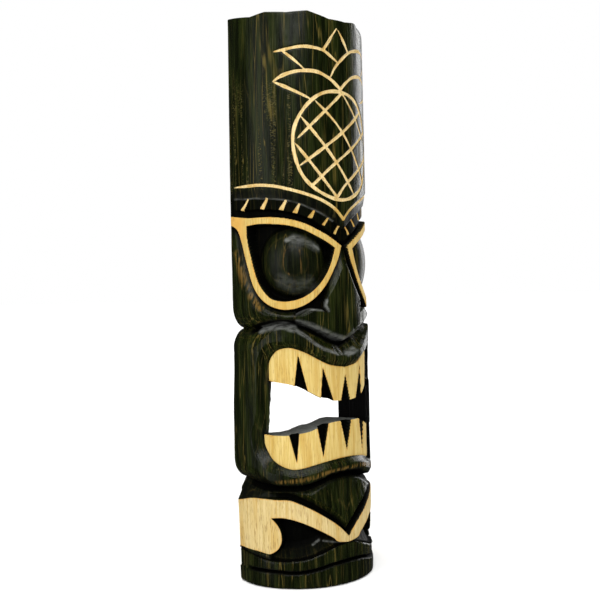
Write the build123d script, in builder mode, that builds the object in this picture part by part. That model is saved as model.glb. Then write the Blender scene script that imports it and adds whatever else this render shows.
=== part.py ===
"""Carved tiki wall mask: a hollow-backed half log with a hinged ring hanger in its back.

Frame: +Z is up, the face looks along -Y, the sawn back is on +Y, and the origin is the
centre of the foot. Lengths are in millimetres.

The carving is laid out on the log's unrolled front. A point of it is (s, z): s is the arc
length from the centre line, z the height above the foot. Outlines give the right half,
and the left half is its mirror image. A depth is measured inwards from the log's skin.
"""

import os
from math import cos, pi, radians, sin, sqrt

from build123d import *

# ---- The log ----
HEIGHT = 508.0
LOG_RADIUS = 68.0
BACK_BEHIND_AXIS = 9.0  # the saw cut leaves slightly more than half of the log
DEPTH = LOG_RADIUS + BACK_BEHIND_AXIS
FRONT_Y = -DEPTH / 2
BACK_Y = DEPTH / 2
AXIS_Y = FRONT_Y + LOG_RADIUS
OVERRUN = 2.0  # how far a cutter runs past the wood
POCKET_FLOOR_Y = AXIS_Y - 8.0  # no pocket of the face goes further back than this

# ---- Depths of the carved levels ----
BROW_STEP_DEPTH = 2.5
BROW_GAP_DEPTH = 6.0
MOAT_DEPTH = 4.0
SOCKET_DEPTH = 10.0
NECK_DEPTH = 13.0  # the crevices that part the face, the mouth and the foot
SHOULDER_DEPTH = 5.0  # the rounded edges beside those crevices
LIP_BEVEL_DEPTH = 1.5
TEETH_DEPTH = 3.0
TOOTH_GAP_DEPTH = 7.0
CHIN_DEPTH = 3.5
FOOT_HOLLOW_DEPTH = 8.0
TIER_GROOVE_DEPTH = 4.0
LINE_DEPTH = 1.6

# ---- Widths ----
LINE_WIDTH = 2.8  # the gouge lines of the pineapple and the brow
BROW_STEP_WIDTH = 2.0
BROW_GAP_CLEARANCE = 1.0
TIER_GROOVE_WIDTH = 3.0
TOOTH_GAP_LENGTH = 32.0  # each gap runs from its apex out past the teeth's edge
MOAT_GROWTH = 1.11  # the moat's outline over the eye rim's
BEVEL_GROWTH = 1.06  # the lip bevel's outline over the mouth's

# ---- The hollow in the back ----
HOLLOW_HALF_WIDTH = 50.0
HOLLOW_DEPTH = 31.0
HOLLOW_LOW = 42.0
HOLLOW_HIGH = 430.0
HOLLOW_RADIUS = (HOLLOW_HALF_WIDTH**2 + HOLLOW_DEPTH**2) / (2 * HOLLOW_DEPTH)

# ---- Half outlines on the unrolled front, as (s, z) ----
HALF_FRONT = LOG_RADIUS * pi / 2  # where the front turns into the side
SIDE_S = HALF_FRONT + OVERRUN
BROW_LINE = [(0, 327), (10, 335), (22, 342), (45, 350), (66, 355.5), (SIDE_S, 357.5)]
BROW_STEP = [(0, 318.5), (8, 324), (22, 331.5), (45, 340.5), (62, 344), (SIDE_S, 348)]
DASH_FOOT = [(0, 307), (11, 313), (22, 320), (48, 330.5), (67, 334), (SIDE_S, 336)]
BROW_DASHES = [  # (top, foot) of each chip cut across the brow
    ((6, 320), (11, 313)),
    ((17, 326.5), (22, 320)),
    ((29.5, 332.5), (34, 327)),
    ((43, 338), (47.5, 331)),
    ((55, 342), (60.5, 334)),
    ((71, 345), (77, 336)),
    ((91, 346), (99, 336)),
]
RIM_TOP = [(1, 302.5), (17, 312), (40, 322.5), (67, 328), (95, 329), (SIDE_S, 330)]
RIM_OUTER_SIDE = [(SIDE_S, 318), (100, 304), (93, 281), (82.5, 259), (64, 247), (46, 247.5)]
RIM_OUTER_SIDE += [(27, 258.5), (11, 280), (1, 302.5)]
RIM_INNER_TOP = [(9, 300), (29, 311.5), (53, 320), (81, 322.5), (92, 321.5)]
RIM_INNER_SIDE = [(92, 321.5), (88.5, 294), (82, 271), (69, 256), (50.5, 254), (32, 262)]
RIM_INNER_SIDE += [(17.5, 278.5), (9, 300)]
EYE_CENTRE = (50.0, 288.0)
EYE_RADIUS = 36.0  # of the ball
EYE_CREST_DEPTH = 1.0
FACE_EDGE = [(0, 218.5), (12.5, 222), (31, 229.5), (48, 236.5), (62, 237), (83, 235)]
FACE_EDGE += [(97, 230.5), (SIDE_S, 230)]
LIP_TOP = [(0, 205), (10, 206), (25, 211.5), (39, 222), (51, 227.5), (62.5, 230), (77, 228)]
LIP_TOP += [(94, 224), (SIDE_S, 220)]
MOUTH_MIDDLE_Z = 155.0
MOUTH_TOP = [(0, 194), (9, 194.5), (20, 197), (37, 206.5), (54, 212.5), (66, 210), (74, 201)]
MOUTH_FOOT = [(81, 136), (79.5, 126), (72, 114.5), (53, 105.5), (28, 109.5), (15, 113), (0, 114)]
UPPER_TEETH_EDGE = [(0, 164), (15, 165), (28, 168), (39, 173.5), (52, 179), (73, 183)]
LOWER_TEETH_EDGE = [(73, 137), (56, 136.5), (45, 137.5), (32, 140.5), (19, 145), (0, 146)]
UPPER_GAPS = [((0, 187.5), 12), ((24, 194.5), 13), ((46, 206.5), 13)]  # apex, width at the edge
LOWER_GAPS = [((0, 121), 12), ((26, 116), 12), ((50, 112), 10)]
LOWER_LIP_EDGE = [(0, 101), (16, 99.5), (28, 95.5), (40, 92), (51, 91), (68, 91), (87, 91.5)]
LOWER_LIP_EDGE += [(99, 93.5), (SIDE_S, 95)]
CHIN_TOP = [(0, 96), (16, 94), (30, 89), (46, 85), (68, 84), (SIDE_S, 84)]
BAND_TOP = [(0, 42.5), (10.5, 52), (23, 61.5), (35, 68.5), (46, 74), (57, 78), (81, 79)]
BAND_TOP += [(SIDE_S, 77)]
BAND_FOOT = [(0, 37.5), (12, 40), (29, 50), (52, 60.5), (63, 62.5), (75, 62)]
BAND_CURL = [(75, 62), (69, 56.5), (65.5, 46), (68, 35), (75, 27)]
TIER_TOP = [(75, 27), (58, 24.5), (41, 26), (30, 30), (11, 35), (0, 36)]
TIER_GROOVE = [(0, 22.5), (18, 21), (30, 19), (45, 16.5), (58, 16), (83, 15.5), (SIDE_S, 13.5)]

# ---- The pineapple on the forehead, as (s, z) over both halves ----
FRUIT_CENTRE = (-2.5, 392.0)
FRUIT_RADII = (44.0, 48.0)
FRUIT_LINES = [
    ((-42, 397), (2, 438)),
    ((-41, 372.5), (35, 428)),
    ((-29.5, 355.5), (42, 409)),
    ((-5, 347), (37, 384)),
    ((-27, 431), (35, 366)),
    ((-39, 416.5), (17.5, 349)),
    ((-44.5, 392.5), (-6, 346)),
    ((4, 437.5), (40, 399)),
]
LEAVES = [  # each leaf is (root, crown of its curve, tip, end of its straight edge)
    ((1, 442), (-31, 456), (-63, 447), (-31, 432.5)),
    ((-1, 465), (-31, 477), (-59, 473.5), (-34.5, 457)),
    ((1, 442), (20, 455), (45, 452), (34, 436)),
    ((-10, 451), (10, 474), (38, 482), (33, 460)),
]
TOP_LEAF = [(-17, 474.5), (-2, 496), (12.5, 476)]

# ---- The hanger ----
HANGER_Z = 472.0  # the ring's hinge
RECESS_DEPTH = 5.0
RECESS_WIDTH = 30.0
RECESS_LOW = HANGER_Z - 32.0
RECESS_HIGH = HANGER_Z + 20.0
RECESS_CORNER = 4.0
RECESS_FLOOR_Y = BACK_Y - RECESS_DEPTH
WIRE_RADIUS = 1.1
HINGE_CLEARANCE = 0.1
SHEET = 0.8
BARREL_INNER = WIRE_RADIUS + HINGE_CLEARANCE
BARREL_OUTER = BARREL_INNER + SHEET
STRAP_WIDTH = 14.0
STRAP_LENGTH = 28.0  # from the hinge to the strap's foot
RING_HALF_WIDTH = 10.0  # to the wire's centre
RING_LENGTH = 14.0
RING_CORNER = 2.2
RING_REST_TILT = 6.0  # degrees off the wall plane, with the wire resting on the strap
HINGE_Y = RECESS_FLOOR_Y + BARREL_OUTER
SCREW_DROPS = (8.5, 21.0)  # of the two screws below the hinge
SCREW_RADIUS = 1.5
SCREW_LENGTH = 16.0  # under the head
SCREW_POINT = 3.0
SCREW_HEAD_RADIUS = 3.0
SCREW_HEAD_HEIGHT = 1.7
SCREW_SLOT = (0.8, 3.6, 0.9)  # width, length and depth of each arm of the cross recess
STRAP_HOLE_RADIUS = 1.7


def on_front(s, z):
    """A point of the unrolled front as it stands on the log, seen square from the front."""
    on_log = max(-HALF_FRONT, min(s, HALF_FRONT))
    return LOG_RADIUS * sin(on_log / LOG_RADIUS) + s - on_log, z


def curve(points):
    """A line through two points, or a smooth curve through more, drawn on the front."""
    drawn = [on_front(*p) for p in points]
    return Line(*drawn) if len(drawn) == 2 else Spline(*drawn)


def both_halves(*curves):
    """A face whose right half is bounded by the curves in turn, with its mirror image."""
    with BuildSketch() as face:
        with BuildLine():
            for points in curves:
                curve(points)
        make_face()
        mirror(about=Plane.YZ)
    return face.sketch


def ring_of(*curves):
    """The same, for curves that start and end on the centre line."""
    return both_halves(*curves, [curves[-1][-1], curves[0][0]])


def across(upper, lower):
    """The face between two half curves that run from the centre line out past the sides."""
    return ring_of(upper, [upper[-1], lower[-1]], lower[::-1])


def shifted(points, rise):
    """A half curve moved up by rise."""
    return [(s, z + rise) for s, z in points]


def outside(face, depth, back_y=POCKET_FLOOR_Y):
    """What lies within an outline on the front, less than depth below the log's skin."""
    with BuildPart() as cutter:
        with BuildSketch(Plane.XZ.offset(-back_y)):
            add(face)
        extrude(amount=back_y - FRONT_Y + OVERRUN)
        with Locations((0, AXIS_Y, HEIGHT / 2)):
            Cylinder(LOG_RADIUS - depth, HEIGHT + 2 * OVERRUN, mode=Mode.SUBTRACT)
    return cutter.part


def round_the_sides(face, depth):
    """The same for a band that runs on round both sides to the back."""
    return outside(face, depth, BACK_Y + OVERRUN)


def grown(curves, centre, factor):
    """The same curves, enlarged about a centre."""
    (centre_s, centre_z) = centre
    return [
        [(centre_s + (s - centre_s) * factor, centre_z + (z - centre_z) * factor) for s, z in points]
        for points in curves
    ]


# ---- Faces on the front that several cuts share ----
rim_curves = [RIM_TOP, [RIM_TOP[-1], RIM_OUTER_SIDE[0]], RIM_OUTER_SIDE]
rims = both_halves(*rim_curves)
moats = both_halves(*grown(rim_curves, EYE_CENTRE, MOAT_GROWTH)) - rims
sockets = both_halves(RIM_INNER_TOP, RIM_INNER_SIDE)
mouth_curves = [MOUTH_TOP, [MOUTH_TOP[-1], MOUTH_FOOT[0]], MOUTH_FOOT]
mouth = ring_of(*mouth_curves)
lip_bevel = ring_of(*grown(mouth_curves, (0, MOUTH_MIDDLE_Z), BEVEL_GROWTH))
mouth_side = [UPPER_TEETH_EDGE[-1], LOWER_TEETH_EDGE[0]]
mouth_hole = ring_of(UPPER_TEETH_EDGE, mouth_side, LOWER_TEETH_EDGE)


def tooth_gaps(gaps, edge_rise):
    """Narrow triangles between the teeth, from each apex to the mouth opening."""
    with BuildSketch() as face:
        for (s, z), width in gaps:
            for side in (-1, 1):
                apex = on_front(side * s, z)
                foot = [on_front(side * s + half, z + edge_rise) for half in (-width / 2, width / 2)]
                with BuildLine():
                    Polyline(apex, *foot, close=True)
                make_face()
    return face.sketch


def engraving():
    """Every gouge line of the forehead: the pineapple, the brow line and the chips below it."""
    across_radius, up_radius = FRUIT_RADII
    paths = [TOP_LEAF[:2], TOP_LEAF[1:]] + [list(line) for line in FRUIT_LINES]
    for root, crown, tip, edge_end in LEAVES:
        paths += [[root, crown, tip], [tip, edge_end]]
    for side in (-1, 1):
        paths += [[(side * s, z) for s, z in path] for path in [BROW_LINE, *BROW_DASHES]]
    with BuildSketch() as face:
        with Locations(on_front(*FRUIT_CENTRE)):
            Ellipse(across_radius + LINE_WIDTH / 2, up_radius + LINE_WIDTH / 2)
            Ellipse(across_radius - LINE_WIDTH / 2, up_radius - LINE_WIDTH / 2, mode=Mode.SUBTRACT)
        with BuildLine():
            for points in paths:
                curve(points)
        trace(line_width=LINE_WIDTH)
    return face.sketch


# ---- The eyeballs, which stand in the sockets and are carved from the same wood ----
eye_angle = EYE_CENTRE[0] / LOG_RADIUS
eye_from_axis = LOG_RADIUS - EYE_CREST_DEPTH - EYE_RADIUS
with BuildPart() as eyeballs:
    for side in (-1, 1):
        with Locations(
            (
                side * eye_from_axis * sin(eye_angle),
                AXIS_Y - eye_from_axis * cos(eye_angle),
                EYE_CENTRE[1],
            )
        ):
            Sphere(EYE_RADIUS)
    add(outside(sockets, SOCKET_DEPTH + OVERRUN), mode=Mode.INTERSECT)

# ---- The hollow in the back: a round-ended trough ----
with BuildPart() as hollow:
    end_centre = (HOLLOW_HIGH - HOLLOW_LOW) / 2 - HOLLOW_HALF_WIDTH
    hollow_axis = (0, BACK_Y - HOLLOW_DEPTH + HOLLOW_RADIUS, (HOLLOW_LOW + HOLLOW_HIGH) / 2)
    with BuildSketch(Plane(origin=hollow_axis, x_dir=(1, 0, 0), z_dir=(0, -1, 0))):
        with BuildLine():
            Line((0, -end_centre - HOLLOW_RADIUS), (0, end_centre + HOLLOW_RADIUS))
            CenterArc((0, end_centre), HOLLOW_RADIUS, 0, 90)
            Line((HOLLOW_RADIUS, -end_centre), (HOLLOW_RADIUS, end_centre))
            CenterArc((0, -end_centre), HOLLOW_RADIUS, -90, 90)
        make_face()
    revolve(axis=Axis(hollow_axis, (0, 0, 1)))

# ---- The carved half log ----
with BuildPart() as carved_body:
    with BuildSketch() as log_section:
        half_width = sqrt(LOG_RADIUS**2 - BACK_BEHIND_AXIS**2)
        with BuildLine():
            ThreePointArc((-half_width, BACK_Y), (0, FRONT_Y), (half_width, BACK_Y))
            Line((half_width, BACK_Y), (-half_width, BACK_Y))
        make_face()
    extrude(amount=HEIGHT)

    # The brow and the eyes
    brow_step = across(shifted(BROW_STEP, BROW_STEP_WIDTH), BROW_STEP)
    add(round_the_sides(brow_step, BROW_STEP_DEPTH), mode=Mode.SUBTRACT)
    gap_foot = [(0, RIM_TOP[0][1])] + shifted(RIM_TOP[1:], BROW_GAP_CLEARANCE)
    brow_gap = across(DASH_FOOT, gap_foot) - rims
    add(round_the_sides(brow_gap, BROW_GAP_DEPTH), mode=Mode.SUBTRACT)
    add(round_the_sides(moats, MOAT_DEPTH), mode=Mode.SUBTRACT)
    add(outside(sockets, SOCKET_DEPTH), mode=Mode.SUBTRACT)
    add(eyeballs.part)

    # The crevices that part the face, the mouth and the foot
    add(round_the_sides(across(FACE_EDGE, LIP_TOP), NECK_DEPTH), mode=Mode.SUBTRACT)
    add(round_the_sides(across(LOWER_LIP_EDGE, CHIN_TOP), NECK_DEPTH), mode=Mode.SUBTRACT)

    # The mouth: the lips' bevel, the teeth, their gaps and the opening right through
    add(outside(lip_bevel, LIP_BEVEL_DEPTH), mode=Mode.SUBTRACT)
    add(outside(mouth, TEETH_DEPTH), mode=Mode.SUBTRACT)
    add(outside(tooth_gaps(UPPER_GAPS, -TOOTH_GAP_LENGTH), TOOTH_GAP_DEPTH), mode=Mode.SUBTRACT)
    add(outside(tooth_gaps(LOWER_GAPS, TOOTH_GAP_LENGTH), TOOTH_GAP_DEPTH), mode=Mode.SUBTRACT)
    with BuildSketch(Plane.XZ.offset(-BACK_Y - OVERRUN)):
        add(mouth_hole)
    extrude(amount=DEPTH + 2 * OVERRUN, mode=Mode.SUBTRACT)

    # The chin, the scrolled band and the tiers of the foot
    add(round_the_sides(across(CHIN_TOP, BAND_TOP), CHIN_DEPTH), mode=Mode.SUBTRACT)
    foot_hollow = ring_of(BAND_FOOT, BAND_CURL, TIER_TOP)
    add(outside(foot_hollow, FOOT_HOLLOW_DEPTH), mode=Mode.SUBTRACT)
    half_groove = TIER_GROOVE_WIDTH / 2
    tier_groove = across(shifted(TIER_GROOVE, half_groove), shifted(TIER_GROOVE, -half_groove))
    add(round_the_sides(tier_groove, TIER_GROOVE_DEPTH), mode=Mode.SUBTRACT)

    # The lines of the forehead
    add(outside(engraving(), LINE_DEPTH), mode=Mode.SUBTRACT)

    # The back: the adzed hollow, the hanger's recess and its screws' pilot holes
    add(hollow.part, mode=Mode.SUBTRACT)
    with BuildSketch(Plane.XZ.offset(-BACK_Y)):
        with Locations((0, (RECESS_LOW + RECESS_HIGH) / 2)):
            RectangleRounded(RECESS_WIDTH, RECESS_HIGH - RECESS_LOW, RECESS_CORNER)
    extrude(amount=RECESS_DEPTH, mode=Mode.SUBTRACT)
    with BuildSketch(Plane.XZ.offset(-RECESS_FLOOR_Y)):
        for drop in SCREW_DROPS:
            with Locations((0, HANGER_Z - drop)):
                Circle(SCREW_RADIUS)
    extrude(amount=SCREW_LENGTH - 2 * SHEET, mode=Mode.SUBTRACT)

# ---- The hanger's strap: one strip of sheet, folded round the ring's bar ----
with BuildPart() as hanger_strap:
    with BuildSketch(Plane.YZ.offset(-STRAP_WIDTH / 2)):
        with Locations((HINGE_Y, HANGER_Z)):
            Circle(BARREL_OUTER)
        with Locations((RECESS_FLOOR_Y + SHEET, HANGER_Z - STRAP_LENGTH / 2)):
            Rectangle(2 * SHEET, STRAP_LENGTH)
        with Locations((HINGE_Y, HANGER_Z)):
            Circle(BARREL_INNER, mode=Mode.SUBTRACT)
    extrude(amount=STRAP_WIDTH)
    foot_corners = hanger_strap.edges().filter_by(Axis.Y).group_by(Axis.Z)[0]
    fillet(foot_corners, STRAP_WIDTH / 2 - 1)
    with BuildSketch(Plane.XZ.offset(-RECESS_FLOOR_Y)):
        for drop in SCREW_DROPS:
            with Locations((0, HANGER_Z - drop)):
                Circle(STRAP_HOLE_RADIUS)
    extrude(amount=-2 * SHEET, mode=Mode.SUBTRACT)

# ---- The ring: a D of round wire, hanging from its straight bar ----
ring_plane = Plane(
    origin=(0, HINGE_Y, HANGER_Z),
    x_dir=(1, 0, 0),
    z_dir=(0, cos(radians(RING_REST_TILT)), sin(radians(RING_REST_TILT))),
)
with BuildPart() as hanger_ring:
    shoulder = RING_LENGTH - RING_HALF_WIDTH
    with BuildLine(ring_plane) as wire:
        inner = RING_HALF_WIDTH - RING_CORNER
        Line((-inner, 0), (inner, 0))
        RadiusArc((inner, 0), (RING_HALF_WIDTH, RING_CORNER), -RING_CORNER)
        Line((RING_HALF_WIDTH, RING_CORNER), (RING_HALF_WIDTH, shoulder))
        ThreePointArc((RING_HALF_WIDTH, shoulder), (0, RING_LENGTH), (-RING_HALF_WIDTH, shoulder))
        Line((-RING_HALF_WIDTH, shoulder), (-RING_HALF_WIDTH, RING_CORNER))
        RadiusArc((-RING_HALF_WIDTH, RING_CORNER), (-inner, 0), -RING_CORNER)
    with BuildSketch(Plane.YZ):
        with Locations((HINGE_Y, HANGER_Z)):
            Circle(WIRE_RADIUS)
    sweep(path=wire.line, transition=Transition.RIGHT)

# ---- The two pan-head screws ----
with BuildPart() as hanger_screws:
    head_y = RECESS_FLOOR_Y + 2 * SHEET
    for drop in SCREW_DROPS:
        with BuildSketch(Plane.XZ.offset(-head_y)) as head:
            with Locations((0, HANGER_Z - drop)):
                Circle(SCREW_HEAD_RADIUS)
        extrude(amount=-SCREW_HEAD_HEIGHT)
        with BuildSketch(Plane.XZ.offset(-head_y)):
            with Locations((0, HANGER_Z - drop)):
                Circle(SCREW_RADIUS)
        extrude(amount=SCREW_LENGTH)
    slot_width, slot_length, slot_depth = SCREW_SLOT
    domes = hanger_screws.faces().sort_by(Axis.Y)[-2:]
    fillet(domes.edges(), SCREW_HEAD_HEIGHT * 0.6)
    for drop in SCREW_DROPS:
        with Locations((0, head_y + SCREW_HEAD_HEIGHT - slot_depth / 2, HANGER_Z - drop)):
            Box(slot_width, slot_depth, slot_length, mode=Mode.SUBTRACT)
            Box(slot_length, slot_depth, slot_width, mode=Mode.SUBTRACT)
    points = hanger_screws.faces().sort_by(Axis.Y)[:2]
    chamfer(points.edges(), SCREW_POINT, SCREW_RADIUS * 0.8)

# ---- Export, one file for each piece ----
os.makedirs("parts", exist_ok=True)
for name, piece in (
    ("carved_body", carved_body),
    ("hanger_strap", hanger_strap),
    ("hanger_ring", hanger_ring),
    ("hanger_screws", hanger_screws),
):
    piece.part.label = name
    export_step(piece.part, f"parts/{name}.step")
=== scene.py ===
"""The looks of the carved tiki mask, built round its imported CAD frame.

The mask is carved on the unrolled front of the log, where a point is (s, z) in millimetres:
s is the arc length from the centre line and z the height above the foot. Every cut is a
depth below the log's skin, worked out from distances to a few outlines. Outlines give the
right half, and the left half mirrors it. Only the pineapple is drawn whole. The eyes and the
brow are shifted a little off the centre line, and the mouth has its own middle and right end.
"""

import math

import bmesh
import bpy
import numpy as np
from mathutils import Matrix, Vector


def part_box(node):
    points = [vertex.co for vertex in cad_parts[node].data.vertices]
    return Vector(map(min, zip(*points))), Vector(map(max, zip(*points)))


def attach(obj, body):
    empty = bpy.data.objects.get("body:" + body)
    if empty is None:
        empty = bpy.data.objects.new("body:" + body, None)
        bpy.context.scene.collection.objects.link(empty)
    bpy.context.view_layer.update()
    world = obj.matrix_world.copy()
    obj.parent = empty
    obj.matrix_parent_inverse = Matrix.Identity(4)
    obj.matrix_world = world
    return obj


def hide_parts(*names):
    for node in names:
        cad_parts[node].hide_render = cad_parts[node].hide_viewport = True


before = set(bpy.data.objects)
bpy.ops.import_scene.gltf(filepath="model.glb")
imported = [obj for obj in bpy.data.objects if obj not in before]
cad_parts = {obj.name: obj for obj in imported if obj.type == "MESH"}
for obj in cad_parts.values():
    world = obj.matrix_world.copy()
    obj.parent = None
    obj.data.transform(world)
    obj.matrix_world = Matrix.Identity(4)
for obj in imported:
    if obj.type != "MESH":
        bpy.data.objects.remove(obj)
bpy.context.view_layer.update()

# ---- The log, from the frame, in millimetres ----
MM = 0.001
BODY_LOW, BODY_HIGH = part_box("carved_body")
HEIGHT = BODY_HIGH.z / MM
RADIUS = (BODY_HIGH.x - BODY_LOW.x) / 2 / MM
AXIS_Y = BODY_LOW.y / MM + RADIUS
BACK_Y = BODY_HIGH.y / MM
BACK_BEHIND_AXIS = BACK_Y - AXIS_Y
HALF_WRAP = RADIUS * (math.pi / 2 + math.asin(BACK_BEHIND_AXIS / RADIUS))

# ---- Fineness of the mesh ----
S_STEP = 0.8
Z_STEP, Z_STEP_ABOVE_FACE = 0.72, 0.9
FACE_TOP, ROUNDED_TOP = 346, 499  # heights where the rows' spacing changes
TOP_ROWS = 11  # from the last of them up
END_STEPS = 9  # across the log's top and foot
CURVE_STEP = 1.2  # between the points of a smoothed outline
REACH = 12.0  # how far from an outline distances to it are worked out


# ---- Outlines ----
def curve(points):
    """A smooth curve through the points, or a straight line through two."""
    points = np.array(points, float)
    if len(points) == 2:
        return points
    ends = np.vstack([2 * points[0] - points[1], points, 2 * points[-1] - points[-2]])
    out = []
    for a, b, c, d in zip(ends, ends[1:], ends[2:], ends[3:]):
        count = max(2, int(math.ceil(np.linalg.norm(c - b) / CURVE_STEP)))
        t = np.linspace(0, 1, count, endpoint=False)[:, None]
        out.append(0.5 * (2 * b + (c - a) * t + (2 * a - 5 * b + 4 * c - d) * t**2
                          + (3 * b - a - 3 * c + d) * t**3))
    return np.vstack(out + [points[-1:]])


def outline(*curves):
    """Curves joined end to end into a closed outline."""
    return np.vstack([curve(c) for c in curves])


def mirrored(*curves):
    """The same for curves that start and end on the centre line, with their mirror image."""
    half = outline(*curves)
    return np.vstack([half, (half * (-1, 1))[::-1]])


def in_box(s, z, path, margin):
    """Which points lie in a path's bounding box, widened by the margin."""
    low, high = path.min(0) - margin, path.max(0) + margin
    return (s > low[0]) & (s < high[0]) & (z > low[1]) & (z < high[1])


def stretches(s, z, path):
    """For each stretch of a path: how far along it points lie, 0 to 1, and their squared distance."""
    for (as_, az), (bs, bz) in zip(path, path[1:]):
        ds, dz = bs - as_, bz - az
        along = np.clip(((s - as_) * ds + (z - az) * dz) / max(ds * ds + dz * dz, 1e-9), 0, 1)
        yield along, (s - as_ - along * ds) ** 2 + (z - az - along * dz) ** 2


def to_path(s, z, path):
    """Distance from every point to a path."""
    best = np.full(s.shape, REACH)
    near = in_box(s, z, path, REACH)
    found = np.full(near.sum(), REACH**2)
    for _, squared in stretches(s[near], z[near], path):
        np.minimum(found, squared, out=found)
    best[near] = np.sqrt(found)
    return best


def outside(s, z, shape):
    """Signed distance from a closed outline: positive outside, negative inside."""
    closed = np.vstack([shape, shape[:1]])
    away = to_path(s, z, closed)
    near = in_box(s, z, closed, 0)
    ps, pz = s[near], z[near]
    crossed = np.zeros(ps.shape, bool)
    for (as_, az), (bs, bz) in zip(closed, closed[1:]):
        if az != bz:
            crossed ^= ((az > pz) != (bz > pz)) & (ps < (bs - as_) * (pz - az) / (bz - az) + as_)
    away[near] *= np.where(crossed, -1, 1)
    return away


def outside_half(a, z, half):
    """The same for the right half of a shape that lies across its centre line."""
    closed = np.vstack([(-4 * REACH, half[0][1]), half, (-4 * REACH, half[-1][1])])
    return outside(a, z, closed)


def nearest(s, z, shapes):
    """Signed distance from the union of closed outlines, up to REACH."""
    return np.minimum.reduce([np.full(s.shape, REACH)] + [outside(s, z, shape) for shape in shapes])


def heights(s, *curves):
    """The heights of curves that run once from the centre line to the side."""
    return [np.interp(s, *curve(points).T) for points in curves]


def ramp(x, start, end):
    """0 up to start and 1 from end on; start may be the higher of the two."""
    return np.clip((x - start) / (end - start), 0, 1)


def soft(x, start, end):
    """The same with smooth bends."""
    t = ramp(x, start, end)
    return t * t * (3 - 2 * t)


def roll(t):
    """A rounded edge: 1 at its foot, 0 where it meets the level above."""
    return 1 - np.sqrt(1 - (1 - np.clip(t, 0, 1)) ** 2)


def mix(a, b, t):
    return a + (b - a) * t


# How far out the right eye and brow are shifted at each height, and the left brow inwards
LEAN_RIGHT = [(228, 0), (240, 5), (316, 5), (327, 1.3), (352, 1.3), (362, 0)]
LEAN_LEFT = [(316, 0), (327, 1.3), (352, 1.3), (362, 0)]


def from_middle(s, z):
    """Distance round the log from the face's middle."""
    right, left = (np.interp(z, *np.array(lean, float).T) for lean in (LEAN_RIGHT, LEAN_LEFT))
    return np.maximum(np.maximum(left - s, s - right), 0)


# ---- Outlines of the face, as (s, z) from the centre line out to the side ----
SIDE = 125.0  # past the log's back edge
BROW_LINE = [(0, 326), (9.5, 335), (22, 342), (34, 346.6), (45, 350), (56, 353), (66, 355.4), (80, 357),
    (95, 357), (SIDE, 357.5)]
BROW_STEP = [(0, 318.5), (8.4, 324), (22.4, 331.6), (34, 337), (45, 340.6), (62, 344), (80, 345.6),
    (SIDE, 348)]
DASH_FOOT = [(0, 307), (11, 313), (22, 320), (34, 326.4), (48, 331), (60, 333.6), (78, 335.6),
    (SIDE, 337)]
# The top and the foot of each chip across the brow
DASHES = [((95, 346), (103, 336)), ((73.5, 345.5), (79.5, 336)), ((55.5, 343), (60.6, 334.4)),
          ((43, 339.5), (47.7, 331.4)), ((29, 333.5), (33.5, 327)), ((15, 327), (19.5, 320.5)),
          ((2.6, 320), (7.0, 312.8))]
RIM_TOP = [(1, 302.5), (7.5, 306.4), (16.7, 312), (28.7, 318), (40, 322.7), (53.4, 326.3), (67, 328.2),
    (80.7, 328.7), (95, 329), (SIDE, 333)]
RIM_SIDE = [(SIDE, 324), (112.5, 322), (105.6, 316.7), (100.6, 305), (97, 293), (93.3, 281.7),
    (89, 269), (82.6, 258.8), (74, 251.3), (64.4, 247.2), (55.3, 246.1), (46.3, 247.4), (36, 251.6),
    (26.6, 258.6), (17.8, 268.6), (11, 279.8), (5, 291), (1, 302.5)]
EYE_TOP = [(9, 300.2), (17, 305.2), (29, 311.4), (40, 316.5), (53.5, 320.2), (67.3, 321.8),
    (80.8, 322.5), (95, 321.5)]
EYE_SIDE = [(95, 321.5), (93.4, 307.8), (89.8, 294), (86.6, 282.6), (82.3, 271), (76, 262), (69, 256),
    (59.6, 253.8), (50.6, 254.2), (41.6, 256.7), (32.4, 262), (24, 269.8), (17.6, 278.7), (12.8, 288.8),
    (9, 300.2)]
EYEBALL_CENTRE = (50.0, 288.5)
EYEBALL_RADII = (36.5, 31.5)
FLANK = RIM_SIDE[:-7:-1] + [(47, 247.2)]
NOSE_WING = [(50, 242), (46, 240.5), (36, 245.4), (29, 246), (23.4, 244.8), (18, 242.7)]
NOSE_SIDE = [(18, 242.7), (20, 251), (16, 262.5), (9, 280), (4.5, 292), (1, 302.5)]
FACE_EDGE = [(0, 218), (12.6, 222), (22, 226.5), (31, 229.8), (40, 234), (48, 236.6), (62, 237.4),
    (83, 235), (96.5, 231), (SIDE, 230)]
LIP_TOP = [(0, 204), (6.2, 205), (15, 207.2), (25.4, 211.5), (32, 216.6), (39, 222), (45, 225.6),
    (51, 228), (62.5, 230.6), (77, 228), (93.6, 225), (SIDE, 218)]
MOUTH_MIDDLE = 3.0  # the mouth's own middle, a little off the log's centre line
MOUTH_TOP = [(0, 193.6), (9.4, 194.8), (18, 196.4), (26, 199.6), (35.5, 204.5), (41, 207.4),
    (49.4, 210.6), (55.7, 212.3), (61.9, 212.4), (69.2, 210.6), (74.7, 206.6), (78.2, 201.8),
    (79.5, 196), (79.6, 183.3)]
MOUTH_SIDE = [(79.6, 183.3), (72.0, 181.4), (72.5, 160), (74, 137), (76.4, 134.9), (86.6, 135.4)]
MOUTH_FOOT = [(86.6, 135.4), (85.6, 126.2), (81.8, 118.7), (76.2, 112.2), (66.6, 107.5), (57.4, 104.9),
    (48.2, 105.4), (32.7, 108.8), (21.8, 110.8), (9.7, 112.2), (0, 112.6)]
HOLE_TOP = [(0, 163.4), (14.9, 164.3), (24, 165.6), (32.2, 168.7), (41.4, 173.4), (55.6, 179),
    (66.9, 181.2), (73.2, 182.3)]
HOLE_FOOT = [(75.8, 134.8), (60.8, 135.1), (49.5, 136.9), (40, 138.6), (32, 141.4), (20.1, 144.9),
    (7.4, 145.4), (0, 145.6)]
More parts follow.
